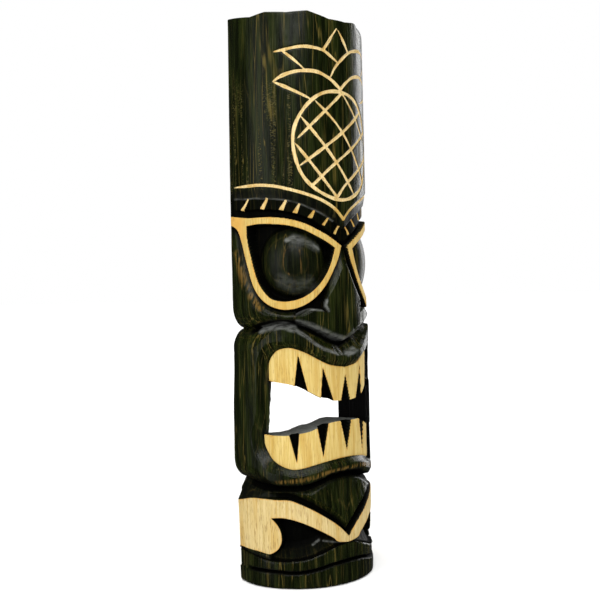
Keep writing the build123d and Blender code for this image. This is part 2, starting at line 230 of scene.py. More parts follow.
# Each black gap between teeth: its apex, the middle of its base and half the base's width
UPPER_GAPS = [((0, 186.8), (0.8, 161), 6.1), ((25.6, 194), (21.6, 163), 7.0),
              ((49.5, 206.2), (47.4, 172), 6.8)]
LOWER_GAPS = [((0, 118.8), (0.4, 148), 7.6), ((27.1, 115.4), (27, 148), 6.7),
              ((52.7, 111), (55.2, 139), 5.4)]
LOWER_LIP = [(0, 100.8), (16, 99.6), (28, 95.7), (40, 92.2), (51, 91.1), (68, 90.9), (87.4, 91.3),
    (99.6, 93.4), (SIDE, 96)]
BAND_TOP = [(0, 42.5), (10.6, 52.5), (23, 61.4), (34.7, 68.6), (46, 74.2), (57, 78.3), (68.6, 78.5),
    (81, 78.8), (95, 78.5), (112.7, 74.7), (SIDE, 74)]
BAND_FOOT = [(0, 37), (12.3, 39.1), (17.4, 43.2), (29.4, 50.2), (40.7, 56), (51.8, 60.3), (63, 62.6),
    (74.5, 62.1)]
BAND_CURL = [(74.5, 62.1), (69, 56.5), (65.7, 50), (65.2, 42), (68, 35.6), (73, 31.6), (78, 30),
    (89.2, 31.4), (109.3, 31.9), (SIDE, 32)]
TIER_TOP = [(0, 37), (11, 35.5), (17.7, 33.7), (30, 30), (41.4, 26.4), (58, 24.4), (75, 24.6), (92, 27),
    (SIDE, 32)]
TIER_GROOVE = [(0, 21.0), (18, 19.6), (30, 17.2), (45, 14.8), (58.5, 14.4), (82.7, 15.2), (SIDE, 14)]
BROW_LINE_WIDTH, TIER_GROOVE_WIDTH = 2.9, 3.4
HOLE_MIDDLE_Z, HOLE_RIGHT_END = 158.0, 51.0
# The mouth's rounded right corner, as an ellipse round (its S, HOLE_MIDDLE_Z)
CORNER_S, CORNER_WIDE, CORNER_HIGH = 44, 18, 57

# ---- The pineapple's gouge lines, over both halves: path, width and which of its ends taper ----
LINE_TAPER = 11.0  # length over which a gouge line narrows to its point
LINE_TIP = 0.22  # part of its width left at the point
FRUIT_CENTRE = (-0.5, 391.8)
FRUIT_RADII = (46.5, 48.2)
OVAL_WIDTH = 3.3
LEAVES = [
    ([(-2, 496), (-9, 486), (-17, 475)], 2.9, "start"),
    ([(-2, 496), (6, 486), (12.6, 476)], 2.2, "start"),
    ([(-62, 472.8), (-53, 474.3), (-41, 476.6), (-31, 477), (-17.5, 474.8), (-8.4, 469.6),
      (-1, 465)], 2.9, "both"),
    ([(-57, 475.5), (-45, 466), (-34.6, 456.8)], 2.6, "both"),
    ([(-63.6, 447), (-54, 452), (-42.5, 455.2), (-31, 456), (-21.7, 454.8), (-11.7, 450.6), (-5, 446.4),
      (1, 442)], 3.3, "start"),
    ([(-63.6, 447), (-48.5, 440), (-30, 431.2)], 3.0, "both"),
    ([(-10.3, 451), (-4.5, 461), (3.5, 469), (12.6, 476), (21, 479.4), (35, 482), (49, 480),
      (57, 475)], 2.9, "both"),
    ([(57, 475), (45, 465), (37, 459)], 2.3, "both"),
    ([(1, 442), (9.7, 449.7), (20, 455.6), (35, 458), (50, 454), (61, 447)], 2.9, "end"),
    ([(61, 447), (47, 439), (33, 434)], 2.4, "both"),
]
LATTICE = [
    ([(-42.5, 396.5), (-20, 418), (2.4, 438.5)], 2.8, "start"),
    ([(-41, 372.5), (-4, 399), (34, 427)], 3.0, "both"),
    ([(-29.5, 355.7), (-5.5, 376.3), (43, 409)], 2.8, ""),
    ([(-5, 346), (8.2, 359.6), (44, 384)], 2.8, ""),
    ([(-27, 431), (0, 406), (26, 375), (36, 361)], 2.5, "start"),
    ([(-40, 416.6), (-19.6, 393), (-5.5, 376.3), (8.2, 359.6), (17.6, 348)], 2.9, "both"),
    ([(-45, 392.6), (-21, 363), (-6.4, 346)], 2.9, "start"),
    ([(4, 437.5), (21, 420), (41, 398)], 2.1, "end"),
]


def half_widths(path, width, pointed):
    """Half a gouge line's width at each point of its path, narrowing towards pointed ends."""
    along = np.concatenate([[0], np.cumsum(np.hypot(*np.diff(path, axis=0).T))])
    start = along if pointed in ("start", "both") else LINE_TAPER
    end = along[-1] - along if pointed in ("end", "both") else LINE_TAPER
    taper = np.sqrt(np.clip(np.minimum(start, end) / LINE_TAPER, 0, 1))
    hand = 1 + 0.10 * np.sin(0.23 * along + path[0, 0]) + 0.05 * np.sin(0.61 * along + path[0, 1])
    return width / 2 * (LINE_TIP + (1 - LINE_TIP) * taper) * hand


def pineapple_lines():
    """Each line's path and half widths: leaves, lattice and the wobbly oval round the fruit."""
    turn = np.linspace(0, 2 * math.pi, 90)
    wobble = 1 + 0.008 * np.sin(3 * turn + 1) + 0.006 * np.sin(7 * turn)
    oval = FRUIT_CENTRE + np.stack([wobble * np.cos(turn), wobble * np.sin(turn)], 1) * FRUIT_RADII
    drawn = [(curve(points), width, pointed) for points, width, pointed in LEAVES + LATTICE]
    return [(path, half_widths(path, width, pointed))
            for path, width, pointed in drawn + [(oval, OVAL_WIDTH, "")]]


# ---- Shapes that the relief and the paint both use ----
RIM = outline(RIM_TOP, RIM_SIDE)
EYE = outline(EYE_TOP, EYE_SIDE)
MOUTH = outline(MOUTH_TOP, *zip(MOUTH_SIDE, MOUTH_SIDE[1:]), MOUTH_FOOT)
LIPS = outline(MOUTH_TOP[:-1] + [(80.2, 183), (81, 160), (84, 143)] + MOUTH_FOOT)
HOLE = mirrored(HOLE_TOP, [HOLE_TOP[-1], HOLE_FOOT[0]], HOLE_FOOT) + (MOUTH_MIDDLE, 0)
HOLE[:, 0] = np.minimum(HOLE[:, 0], HOLE_RIGHT_END)
HOLLOW_BESIDE_NOSE = outline(FLANK, NOSE_WING, NOSE_SIDE)
BAND = outline(BAND_TOP, [(SIDE, 74), (SIDE, 32)], BAND_CURL[::-1], BAND_FOOT[::-1])
FOOT_HOLLOW = outline(BAND_FOOT, BAND_CURL[:7], [(78, 30), (75, 24.8)], TIER_TOP[:7][::-1])
LINES = pineapple_lines()


def dash(top, foot):
    """A chip cut across the brow, pointed at the top and wide at the foot."""
    wide = 2.3 if 20 < top[0] < 80 else 1.5
    return np.array([top, top, foot, foot]) + [(-0.9, -0.3), (0.9, 0.3), (wide, 0.4), (-wide, -0.6)]


def tooth_gap(apex, middle, half_width):
    """A black triangle between two teeth."""
    return np.array([apex, middle, middle]) + [(0, 0), (half_width, 0), (-half_width, 0)]


DASH_SHAPES = [dash(*ends) for ends in DASHES]
GAP_SHAPES = [tooth_gap(*gap) for gap in UPPER_GAPS + LOWER_GAPS]


def into_line(s, z, lines):
    """How far inside the nearest gouge line a point is; negative outside every line."""
    best = np.full(s.shape, -REACH)
    for path, half in lines:
        near = in_box(s, z, path, REACH)
        found = best[near]
        for (along, squared), start, end in zip(stretches(s[near], z[near], path), half, half[1:]):
            np.maximum(found, mix(start, end, along) - np.sqrt(squared), out=found)
        best[near] = found
    return best


def brow_line(a, z):
    """How far inside the brow's gouge line a point is; the line thins out towards the side."""
    half_width = BROW_LINE_WIDTH / 2 * (1 - 0.95 * ramp(a, 94, 117))
    return half_width - to_path(a, z, curve(BROW_LINE))


def round_face(s, z):
    """Distances from the middle of the face and of the mouth, and from the eyes' rims."""
    a = from_middle(s, z)
    return a, np.abs(s - MOUTH_MIDDLE), outside(a, z, RIM), outside(a, z, EYE)


# ---- The relief: how deep the wood is cut at each point ----
def brow_depth(a, z, rim):
    line, step, foot, rim_top = heights(a, BROW_LINE, BROW_STEP, DASH_FOOT, RIM_TOP)
    slope = 0.5 + 1.8 * ramp(line - z, 0, 9)
    depth = np.where((z < line) & (z > step), slope, 0)
    band = 2.4 + 1.4 * ramp(step - z, 0, 0.9)
    depth = np.where((z <= step) & (z > rim_top), band, depth)
    gap = 7.5 - 4.0 * soft(a, 12, 2)
    under = (z <= foot) & (z > rim_top - 3) & (rim > 0)
    depth = np.where(under, mix(band, gap, ramp(foot - z, 0, 1.2) * ramp(rim, 0, 0.9)), depth)
    return depth * soft(a, 112, 98)


def eyeball(a, z):
    """0 at the eyeball's middle, 1 on its edge."""
    (ca, cz), (ra, rz) = EYEBALL_CENTRE, EYEBALL_RADII
    return np.hypot((a - ca) / ra, (z - cz) / rz)


def eye_depth(a, z, rim, eye):
    """The moat round the rim, the rim itself, the socket and the eyeball in it."""
    moat = 5.5 * ramp(rim, 8.0, 0.9) * soft(a, 112, 99)
    depth = np.where(rim > 0, mix(1.0, moat, ramp(rim, 0, 0.9)), 1.0)
    depth = depth * (1 - 0.9 * soft(a, 104, 113))
    socket = 1.0 + 11.0 * ramp(-eye, 0.1, 1.8)
    ball = 12.0 - 10.6 * np.maximum(1 - eyeball(a, z) ** 2, 0) ** 0.72
    return np.where(eye < 0, np.minimum(socket, ball), depth)


def cheek_groove_depth(a, z):
    """The crevice between the face and the upper lip, which opens into a notch at the sides."""
    face, lip = heights(a, FACE_EDGE, LIP_TOP)
    side = soft(a, 62, 98)
    valley = mix(face - 2.2, 230.0, side)
    deepest = mix(13.0, 14.0, side)
    above = (z - valley) / mix(2.2, 21.0, side)
    upper = mix(ramp(above, 1, 0), roll(above), side)
    chamfer = 2.4 * ramp(z - face, 5.0, 0) * (1 - side)
    below = (valley - z) / mix(np.maximum(valley - lip, 2.5), 19.0, side)
    lower = mix(ramp(below, 1, 0) * 0.8 + 0.2 * (below < 1), roll(below), side)
    depth = np.where(z > valley, np.maximum(deepest * upper, chamfer), deepest * lower)
    return np.where((z > valley - 30) & (z < valley + 30), depth, 0)


def between_teeth(m, z):
    """How far inside the gap between the rows of teeth a point is, measured up and down."""
    top, foot = heights(m, HOLE_TOP, HOLE_FOOT[::-1])
    return np.minimum(top - z, z - foot)


def past_corner(s, z):
    """How far past the mouth's rounded right corner a point is, where the lip stands up again."""
    up = (z - HOLE_MIDDLE_Z) / CORNER_HIGH
    return s - CORNER_S - CORNER_WIDE * np.sqrt(np.maximum(1 - up**2, 0))


def mouth_depth(s, m, z, mouth):
    end = soft(m, 62, 82)
    bevel, deepest = mix(5.6, 9.6, end), mix(4.8, 7.6, end)
    teeth = mix(4.1, 5.6, end)
    lips = outside_half(m, z, LIPS)
    depth = deepest * ramp(lips, bevel, 0)
    depth = np.where(mouth < 0, mix(deepest, teeth, ramp(-mouth, 0, 0.9)), depth)
    gaps = nearest(m, z, GAP_SHAPES)
    depth = depth + np.where(mouth < 0, 6.5 * ramp(-gaps, 0, 1.3) * ramp(-mouth, 0, 1.2), 0)
    solid = ramp(s, HOLE_RIGHT_END - 1, HOLE_RIGHT_END + 5) * ramp(between_teeth(m, z), 0, 1.2)
    depth = np.where(mouth < 0, mix(depth, 0.6, solid), depth)
    return mix(depth, np.minimum(depth, 0.5), ramp(past_corner(s, z), -1, 3.5))


def jaw_depth(a, z, band):
    """The crevice under the lower lip, the chin's facets and the step down to the band."""
    lip, top = heights(a, LOWER_LIP, BAND_TOP)
    side = soft(a, 66, 100)
    valley = lip - mix(2.0, 0.5, side)
    deepest = mix(10.0, 12.0, side)
    above = (z - valley) / mix(2.4, 19.0, side)
    lip_side = np.maximum(deepest * mix(ramp(above, 1, 0), roll(above), side),
                          1.8 * ramp(z - lip, 4, 0) * (1 - side))
    below = (valley - z) / mix(9.0, 15.5, side)
    chin_side = deepest * ramp(below, 1, 0)
    rise = (z - top) * 0.82
    ridge = 6.6 - 5.6 * ramp(rise, 3.2, 10.0) + 2.6 * ramp(rise, 10.5, 25)
    pad = mix(ridge, 1.0 + 4.0 * ramp(rise, 0, 6), side)
    chin = np.where(z > valley, lip_side, np.maximum(chin_side, pad))
    depth = np.where((z > top) & (z < lip + 24), chin, 0)
    return np.where(band < 0.9, mix(1.0, depth, ramp(band, 0, 0.9)), depth)


def foot_depth(a, z):
    top, groove = heights(a, TIER_TOP, TIER_GROOVE)
    hollow = outside(a, z, FOOT_HOLLOW)
    floor = mix(5.0, 10.5, ramp(z - top, 1, 15))
    depth = np.where(hollow < 0, floor * ramp(-hollow, 0, 1.4), 0)
    tier = 1.2 + 2.0 * roll(ramp(top - z, 0, 2.5))
    depth = np.where((z < top) & (z > groove), tier, depth)
    cut = TIER_GROOVE_WIDTH / 2 - np.abs(z - groove)
    depth = np.maximum(depth, 4.5 * ramp(cut, 0, 1.3) * soft(a, 110, 100))
    return np.maximum(depth, 2.6 * roll(z / 3.2))


def relief(s, z):
    """Depth of the carving below the log's skin."""
    a, m, rim, eye = round_face(s, z)
    mouth, band = outside_half(m, z, MOUTH), outside(a, z, BAND)
    depth = np.zeros(s.shape)
    eyes = (z > 236) & (z < 340)
    depth = np.where(eyes, eye_depth(a, z, rim, eye), depth)
    beside = outside(a, z, HOLLOW_BESIDE_NOSE)
    depth = np.maximum(depth, 8.5 * ramp(-beside, -0.2, 2.0) * ramp(rim, 0, 0.9))
    depth = np.where((rim < 0) & (z < 345), depth, np.maximum(depth, brow_depth(a, z, rim)))
    depth = np.maximum(depth, cheek_groove_depth(a, z))
    depth = np.where((z > 90) & (z < 226), np.maximum(depth, mouth_depth(s, m, z, mouth)), depth)
    depth = np.where(z < 118, np.maximum(depth, jaw_depth(a, z, band)), depth)
    foot = foot_depth(a, z) * ramp(band, 0, 0.9)
    depth = np.where((z < 64) & (band > 0), np.maximum(depth, foot), depth)
    chips = nearest(a, z, DASH_SHAPES)
    depth = depth + 1.2 * ramp(-chips, -0.1, 0.9)
    lines = np.maximum(into_line(s, z, LINES), brow_line(a, z))
    return np.maximum(depth, 1.7 * ramp(lines, -0.1, 1.4))


def leaning_edge(s, z):
    """How far the log's left back edge stands out beside the lip and in at the foot."""
    lip = 2.0 * ramp(z, 88, 104) * soft(z, 200, 150)
    return soft(-s, 88, 115) * (lip - 2.0 * ramp(z, 72, 0) - 1.7 * ramp(z, 370, 500))


# ---- The paint: where the stain was left off, the painted shade in the crevices, wear and painted highlights ----
def bare_wood(s, z):
    """Distance in millimetres inside a region of bare wood; negative on the stain."""
    a, m, rim, eye = round_face(s, z)
    on_rim = np.minimum(-rim, eye) - 0.25
    teeth = np.minimum(-outside_half(m, z, MOUTH), nearest(m, z, GAP_SHAPES)) - 0.1
    teeth = teeth - 0.5 * ramp(s, 47, 54)
    solid = s > HOLE_RIGHT_END - 3  # where the teeth's gap is not cut through
    teeth = np.where(solid, np.minimum(teeth, -between_teeth(m, z) - 0.1), teeth)
    teeth = np.minimum(teeth, -1.0 - past_corner(s, z))
    lines = np.maximum(into_line(s, z, LINES), brow_line(a, z)) - 0.12
    chips = -nearest(a, z, DASH_SHAPES)
    band = -outside(a, z, BAND) - 0.12
    return np.maximum.reduce([on_rim, teeth, lines, chips, band])


def painted_recess_shade(s, z):
    """From 0 to 1, how dark a point is painted in the crevices, moats, sockets and hollows: painted
    shade, partly also stain pooled black there.
    """
    a, m, rim, eye = round_face(s, z)
    line, step, foot, rim_top = heights(a, BROW_LINE, BROW_STEP, DASH_FOOT, RIM_TOP)
    brow = 0.62 * ramp(line - z, 1, 5) + 0.2 * ramp(step - z, 0, 1)
    brow = np.where((z < line) & (z > rim_top) & (rim > 0), brow, 0)
    gap = ((z < foot) & (z > rim_top) & (rim > 0)).astype(float)
    moat = np.where(rim > 0, ramp(rim, 5.0, 1.5), 0)
    # painted shade over the eyeballs too, darkest towards their edges
    socket = np.where(eye < 0, np.maximum(ramp(eyeball(a, z), 0.70, 1.0), 0.28), 0)
    flank = ramp(-outside(a, z, HOLLOW_BESIDE_NOSE), -1, 1.5)
    face, lip, band_top, tier_top, groove = heights(
        a, FACE_EDGE, LOWER_LIP, BAND_TOP, TIER_TOP, TIER_GROOVE)
    under_face = ramp(np.abs(z - face + 3.0), 5, 2.5) * soft(a, 106, 92)
    under_lip = ramp(np.abs(z - lip + 3.0), 5.5, 2.4) * soft(a, 112, 100)
    mouth = outside_half(m, z, MOUTH)
    gaps = np.where(mouth < 0, ramp(-nearest(m, z, GAP_SHAPES), -0.3, 0.3), 0)
    solid = (mouth < 0) * (s > HOLE_RIGHT_END - 4) * ramp(between_teeth(m, z), -0.4, 0.2)
    corner = (np.abs(past_corner(s, z) - 1) < 3.5) * (mouth < 2)
    end = ramp(mouth, 6, 0) * (mouth > 0) * soft(m, 62, 72) * (s < 0)
    end = end * soft(z, 126, 140) * soft(z, 196, 184)
    under_band = (outside(a, z, FOOT_HOLLOW) < 0) * (0.75 + 0.25 * ramp(z - tier_top, 4, 12))
    on_tier = (z < band_top) * ramp(z - tier_top, 4, 1) * (z > tier_top - 0.5)
    under_band = np.maximum(under_band, on_tier)
    groove = ramp(np.abs(z - groove), 2.4, 1.4) * soft(a, 106, 98)
    chin = ramp(z - band_top, 8.5, 5) * (z > band_top) * soft(a, 84, 66)
    side_chin = 0.7 * soft(a, 60, 80) * (z > band_top) * ramp(z, 102, 94)
    eyes = np.where((z > 236) & (z < 362), np.maximum.reduce([brow, gap, moat, socket, flank]), 0)
    foot = np.where(z < 64, np.maximum(under_band, groove * (z < 30)), 0)
    jaw = np.where((z < 110) & (z > 40), np.maximum.reduce([under_lip, chin, side_chin]), 0)
    solid, gaps = (shade * (past_corner(s, z) < 3) for shade in (solid, gaps))
    return np.maximum.reduce([eyes, foot, jaw, under_face, gaps, end, solid, corner])


# Where the stain has worn thin: path and reach
WORN = [
    ([(-107, 297), (-104, 284), (-98, 268)], 5.5),
    ([(-91, 259), (-81, 249)], 4.5),
    ([(-56, 299), (-58, 290), (-57, 281), (-51, 276.5)], 0.8),
    ([(-43, 298.6), (-41.3, 278)], 0.7),
    ([(-70, 93.5), (-40, 97), (-20, 101.5), (20, 103.5), (50, 97)], 2.6),
]
# Painted highlights and sheen on edges, eyeballs and the foot hollow: path, reach and strength
PAINTED_HIGHLIGHTS = [
    ([(-84, 228.5), (-62, 232.5), (-50, 229.5)], 4.2, 1.0),
    ([(-50, 229.5), (-38, 222), (-25, 212.5), (-8, 206)], 2.2, 0.9),
    ([(4, 205.5), (17, 208.5)], 3.4, 1.0),
    ([(-46, 235.5), (-31, 231), (-12.6, 222.5), (0, 219)], 3.2, 0.45),
    ([(0, 219), (14, 225)], 2.8, 0.4),
    ([(-17, 244.5), (-19.5, 249), (-18.5, 254)], 1.4, 1.0),
    ([(-55, 307.5), (-48, 310)], 2.6, 0.9),
    ([(-48, 309), (-38, 306.5), (-25, 300)], 5.0, 0.42),
    ([(-28, 303), (-23, 299.5)], 2.2, 0.9),
    ([(-60, 272), (-46, 267), (-34, 269)], 9.0, 0.17),
    ([(-36, 37), (-29, 41)], 1.3, 0.7),
    ([(-25, 40), (-17, 38.5), (-10, 38)], 1.1, 0.6),
    ([(-47, 242), (-36, 246), (-22, 245)], 1.2, 0.8),
    ([(-109, 346.6), (-80, 345.4), (-62, 343.8), (-45, 340.4), (-22.4, 331.4), (-9, 324)], 0.8, 0.5),
]


def along_paths(s, z, paths, core):
    """The strongest of some paths: full strength within core times a path's reach, 0 past it."""
    return np.maximum.reduce([strength * ramp(to_path(s, z, curve(path)), reach, core * reach)
                              for path, reach, strength in paths])


def worn_stain(s, z):
    """From 0 to 1, how far the stain has been rubbed thin."""
    return along_paths(s, z, [(*worn, 1) for worn in WORN], 0.35) * (painted_recess_shade(s, z) < 0.3)


def painted_highlights(s, z):
    """From 0 to 1, how strong the painted highlight is: along the carving's edges, on the eyeballs and
    in the foot hollow.
    """
    return along_paths(s, z, PAINTED_HIGHLIGHTS, 0.3)


# ---- Tool marks ----
def lumps(u, v, across, along, seed):
    """Smooth noise from -1 to 1 with lumps of about across by along millimetres."""
    lattice = np.random.default_rng(seed).uniform(-1, 1, (101, 103))
    p, q = u / across + 1000.5, v / along + 1000.5
    i, j = np.floor(p).astype(int), np.floor(q).astype(int)
    f, g = p - i, q - j
    f, g = f * f * (3 - 2 * f), g * g * (3 - 2 * g)
    i, j = i % 100, j % 102
    low = mix(lattice[i, j], lattice[i + 1, j], f)
    return mix(low, mix(lattice[i, j + 1], lattice[i + 1, j + 1], f), g)


def scallops(u, v, across, along, seed):
    """Gouge cuts of about across by along millimetres: 0 along a cut's middle, 1 on its ridges."""
    jitter = np.random.default_rng(seed).uniform(0.2, 0.8, (2, 61, 67))
    i, j = np.floor(u / across).astype(int), np.floor(v / along).astype(int)
    nearest_cut = np.full(np.shape(u), 9.0)
    for di in (-1, 0, 1):
        for dj in (-1, 0, 1):
            ci, cj = i + di, j + dj
            pu = (ci + jitter[0, ci % 61, cj % 67]) * across
            pv = (cj + jitter[1, ci % 61, cj % 67]) * along
            cut = ((u - pu) / across) ** 2 + ((v - pv) / along) ** 2
            nearest_cut = np.minimum(nearest_cut, cut)
    return np.clip(nearest_cut / 0.45, 0, 1)


def knife_work(s, z):
    """The unevenness that drawknife and gouge leave on the carved front, in millimetres."""
    skin = 0.30 * lumps(s, z, 17, 60, 1) + 0.14 * lumps(s, z, 6, 22, 2) + 0.05 * lumps(s, z, 2.6, 5, 3)
    cuts = scallops(s + 0.3 * z, z, 9, 13, 4) * 0.45
    rough = np.maximum.reduce([ramp(np.abs(z - 215), 26, 14), ramp(z, 100, 84) * (z > 30),
                               0.5 * ramp(z, 34, 22)])
    bare = ramp(bare_wood(s, z), -0.6, 0.4)
    return (skin + cuts * rough) * (1 - 0.75 * bare)


# ---- The mask's mesh ----
def put(name, verts, faces, materials, slots=None):
    """A mesh object from points in millimetres."""
    mesh = bpy.data.meshes.new(name)
    mesh.from_pydata((np.asarray(verts) * MM).tolist(), [], [[int(i) for i in f] for f in faces])
    for material in materials:
        mesh.materials.append(material)
    if slots is not None:
        mesh.polygons.foreach_set("material_index", np.asarray(slots, np.int32))
    mesh.validate()
    mesh.update()
    obj = bpy.data.objects.new(name, mesh)
    bpy.context.scene.collection.objects.link(obj)
    return obj


def on_log(s, z, depth):
    """Where a point of the unrolled front stands, so that the last column lies in the back plane."""
    radius = RADIUS - depth
    last = math.pi / 2 + np.arcsin(BACK_BEHIND_AXIS / radius)
    turn = s / RADIUS + np.sign(s) * (last - HALF_WRAP / RADIUS) * ramp(np.abs(s), 100, HALF_WRAP)
    return np.stack([radius * np.sin(turn), AXIS_Y - radius * np.cos(turn), z], -1)


# The log's uneven top edge, as (s, z)
TOP_EDGE = [(-HALF_WRAP, 511.6), (-100, 509), (-85, 506.5), (-70, 508.9), (-50, 507.3), (-31, 509),
    (-22, 506.5), (-10, 503.4), (10, 503.6), (23, 506), (45, 508), (80, 507), (HALF_WRAP, 508)]
SAGGING_FROM = 478  # height from which the rows follow the uneven top


def rows_of_heights():
    """Heights of the mesh's rows, closer together over the face."""
    return np.concatenate([np.arange(0, FACE_TOP, Z_STEP),
                           np.arange(FACE_TOP, ROUNDED_TOP, Z_STEP_ABOVE_FACE),
                           np.linspace(ROUNDED_TOP, HEIGHT, TOP_ROWS)])


def log_mesh(front_slot, back_slot, end_slot):
    """The half log with its carved front, closed by its ends and its sawn back."""
    columns = np.linspace(-HALF_WRAP, HALF_WRAP, 2 * int(HALF_WRAP / S_STEP) + 1)
    s, z = np.meshgrid(columns, rows_of_heights())
    depth = relief(s, z) + knife_work(s, z)
    top = np.interp(columns, *np.array(TOP_EDGE).T)
    crown, below_top = soft(s, 24, 40) * soft(s, 100, 84), HEIGHT - z
    depth = depth + 7.0 * crown * roll(ramp(below_top, 0, 10)) + 1.2 * roll(ramp(below_top, 0, 1.6))
    z = z + (top - HEIGHT) * ramp(z, SAGGING_FROM, HEIGHT)
    front = on_log(s, z, np.maximum(depth, 0) - leaning_edge(s, z))
    rows, cols = s.shape
    verts, count = [front.reshape(-1, 3)], rows * cols
    index = np.arange(count).reshape(rows, cols)
    faces, slots = grid_faces(index), [front_slot] * ((rows - 1) * (cols - 1))
    edges = []
    for row, end in ((0, -1), (rows - 1, 1)):
        line = front[row]
        back = mix(line[0], line[-1], ((columns - columns[0]) / (2 * HALF_WRAP))[:, None])
        back[:, 1] = BACK_Y
        grid = np.empty((END_STEPS + 1, cols), int)
        grid[0] = index[row]
        grid[:, 0], grid[:, -1] = index[row, 0], index[row, -1]
        for k in range(1, END_STEPS + 1):
            along = k / END_STEPS
            x, y, z = mix(line, back, along)[1:-1].T
            unevenness = 0.5 * lumps(x, y, 9, 7, 9 + end) * np.sin(math.pi * along)
            verts.append(np.stack([x, y, z + end * unevenness], 1))
            grid[k, 1:-1] = count + np.arange(cols - 2)
            count += cols - 2
        # The grid's outer columns are single points, so its outer quads are triangles
        closing = [list(dict.fromkeys(quad)) for quad in grid_faces(grid, flip=end < 0)]
        closing = [face for face in closing if len(face) > 2]
        faces, slots = faces + closing, slots + [end_slot] * len(closing)
        edges.append(grid[-1])
    right, left = index[1:-1, -1], index[1:-1, 0]
    faces.append(np.concatenate([edges[0], right, edges[1][::-1], left[::-1]]))
    return np.vstack(verts), faces, slots + [back_slot]


def grid_faces(index, flip=False):
    """Quads over a grid of point numbers."""
    a, b, c, d = index[:-1, :-1], index[:-1, 1:], index[1:, 1:], index[1:, :-1]
    order = (a, d, c, b) if flip else (a, b, c, d)
    return np.stack(order, -1).reshape(-1, 4).tolist()


def cutter(name, rings, material, closed_start=True):
    """A closed cutter through rings of points, with flat ends."""
    count = len(rings[0])
    index = np.arange(count * len(rings)).reshape(-1, count)
    faces = grid_faces(np.hstack([index, index[:, :1]])) + [index[-1][::-1]]
    if closed_start:
        faces.append(index[0])
    return tidy_normals(put(name, np.vstack(rings), faces, [material]))


def tidy_normals(obj):
    """Welds double points and turns every face outwards."""
    work = bmesh.new()
    work.from_mesh(obj.data)
    bmesh.ops.remove_doubles(work, verts=work.verts, dist=1e-7)
    bmesh.ops.recalc_face_normals(work, faces=work.faces)
    work.to_mesh(obj.data)
    work.free()
    return obj


def resampled(ring, step):
    """A closed outline with points an even step apart."""
    closed = np.vstack([ring, ring[:1]])
    length = np.concatenate([[0], np.cumsum(np.hypot(*np.diff(closed, axis=0).T))])
    at = np.linspace(0, length[-1], int(length[-1] / step), endpoint=False)
    return np.stack([np.interp(at, length, closed[:, 0]), np.interp(at, length, closed[:, 1])], 1)


HOLE_EDGE_DEPTH = 6.0  # the mouth's outline is kept at this depth below the log's skin
HOLLOW_HALF_WIDTH = 48.5
HOLLOW_ENDS = (92.0, 380.0)  # heights where the trough's straight sides end
HOLLOW_RADIUS = 55.8
HOLLOW_FLOOR = BACK_Y - 31.0


def mouth_cutter(material):
    """The way through the mouth, wider towards the hollow, with its gouge cuts."""
    s, z = resampled(HOLE, 1.3).T
    x = (RADIUS - HOLE_EDGE_DEPTH) * np.sin(s / RADIUS)

    def ring(y):
        skin = AXIS_Y - np.sqrt((RADIUS - HOLE_EDGE_DEPTH + 1) ** 2 - np.minimum(np.abs(x), 54) ** 2)
        inwards = np.clip(y - skin - 1.0, 0, 44)
        fall = np.interp(x, [-60, -40, -25, -10, 10], [0.04, 0.08, 0.15, 0.15, 0.05])
        rise = np.where(z > HOLE_MIDDLE_Z, 0.34 * inwards, -fall * inwards)
        left = -3.5 * np.clip((y + 10) / 48, 0, 1) * ramp(-x, 50, 54)
        right = (7.5 * ramp(y, -20, 9) + 11.5 * ramp(y, 11, 22)) * ramp(x, 40, 42.5)
        marks = 0.25 * lumps(x + 2 * z, y, 7, 9, 21)
        side = (x < -50) | (x > 42)
        return np.stack([x + left + right + 0.4 * marks * side, 0 * x + y, z + rise + marks * ~side], 1)

    levels = np.arange(AXIS_Y - RADIUS - 8, BACK_Y + 8, 2.2)
    return cutter("cut_mouth", [ring(y) for y in levels], material)


def hollow_cutter(material):
    """The adzed trough in the back, with its gouge cuts."""
    low, high = HOLLOW_ENDS
    turn = np.linspace(0, math.pi, 73)
    sides = np.arange(low, high, 2.4)[1:]
    unit = np.vstack([
        np.stack([np.cos(turn), np.sin(turn), np.full(73, high)], 1),
        np.stack([-np.ones(len(sides)), np.zeros(len(sides)), sides[::-1]], 1),
        np.stack([-np.cos(turn), -np.sin(turn), np.full(73, low)], 1),
        np.stack([np.ones(len(sides)), np.zeros(len(sides)), sides], 1),
    ])
    outs = np.append(np.arange(0, HOLLOW_HALF_WIDTH + 1.5, 1.6), HOLLOW_HALF_WIDTH + 2.0)
    rings = []
    for out in outs:
        x, z = out * unit[:, 0], unit[:, 2] + out * unit[:, 1]
        reach = out * 50.0 / HOLLOW_HALF_WIDTH
        y = HOLLOW_FLOOR + HOLLOW_RADIUS - np.sqrt(np.maximum(HOLLOW_RADIUS**2 - reach**2, 0))
        y = y + 1.3 * (scallops(x + 0.15 * z, z, 11, 27, 31) - 0.35) + 0.12 * lumps(x, z, 3, 8, 32)
        rings.append(np.stack([x, y, z], 1))
    lid = rings[-1].copy()
    lid[:, 1] = BACK_Y + 12
    rings.append(lid)
    return cutter("cut_hollow", rings, material, closed_start=False)


RECESS_HALF_WIDTH, RECESS_LOW, RECESS_HIGH = 15.0, 440.0, 492.0
RECESS_CORNER, RECESS_DEPTH = 4.0, 5.0


def recess_cutter(material):
    """The rounded box cut for the hanger."""
    corners = []
    for sx, sz, start in ((1, 1, 0), (-1, 1, 90), (-1, -1, 180), (1, -1, 270)):
        cx = sx * (RECESS_HALF_WIDTH - RECESS_CORNER)
        cz = (RECESS_HIGH if sz > 0 else RECESS_LOW) - sz * RECESS_CORNER
        for turn in np.radians(np.linspace(start, start + 90, 7)):
            corners.append((cx + RECESS_CORNER * math.cos(turn), cz + RECESS_CORNER * math.sin(turn)))
    x, z = resampled(np.array(corners), 2.0).T
    levels = BACK_Y - RECESS_DEPTH, BACK_Y - 2.5, BACK_Y + 6
    return cutter("cut_recess", [np.stack([x, 0 * x + y, z], 1) for y in levels], material)


